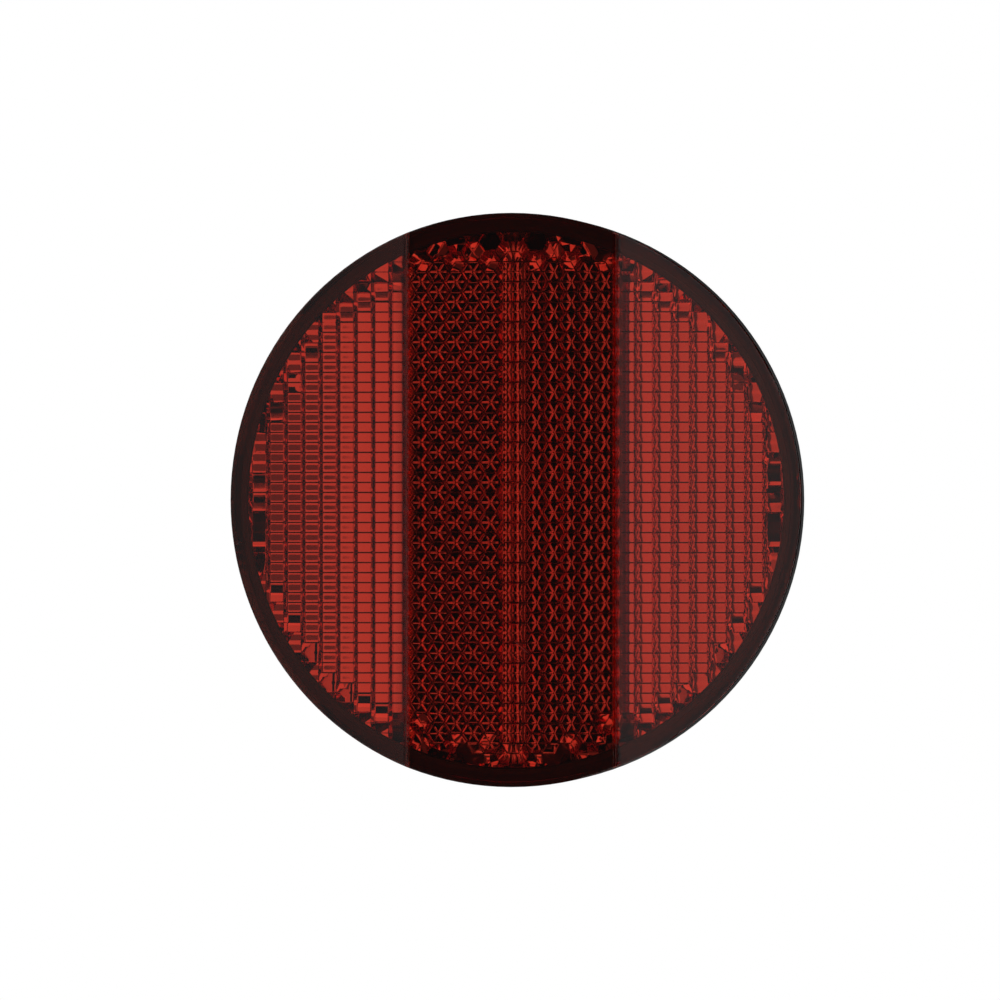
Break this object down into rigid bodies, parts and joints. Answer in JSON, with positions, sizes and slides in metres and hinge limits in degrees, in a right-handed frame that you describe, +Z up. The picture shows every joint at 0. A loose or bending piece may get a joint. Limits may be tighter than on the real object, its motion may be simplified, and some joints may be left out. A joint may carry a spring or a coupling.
{
  "type": "rear reflector",
  "caption": "Round red bicycle rear reflector: three-facet prism lens welded to a black cup-shaped back shell, with a threaded stud behind for a bracket or mudguard.",
  "frame": {"origin": "on the stud's axis, at the boss face a bracket or mudguard sits on", "axes": "+X right seen from the front, +Y back along the stud, +Z up; the lens faces -Y"},
  "size_m": [0.06, 0.0286, 0.06],
  "materials": {
    "lens": "clear red acrylic, polished, prisms moulded on its back",
    "back_shell": "black ABS, fine matt texture",
    "stud": "zinc plated"
  },
  "bodies": {
    "root": {"lens": "lens", "back_shell": "back_shell", "stud": "stud"}
  },
  "joints": []
}
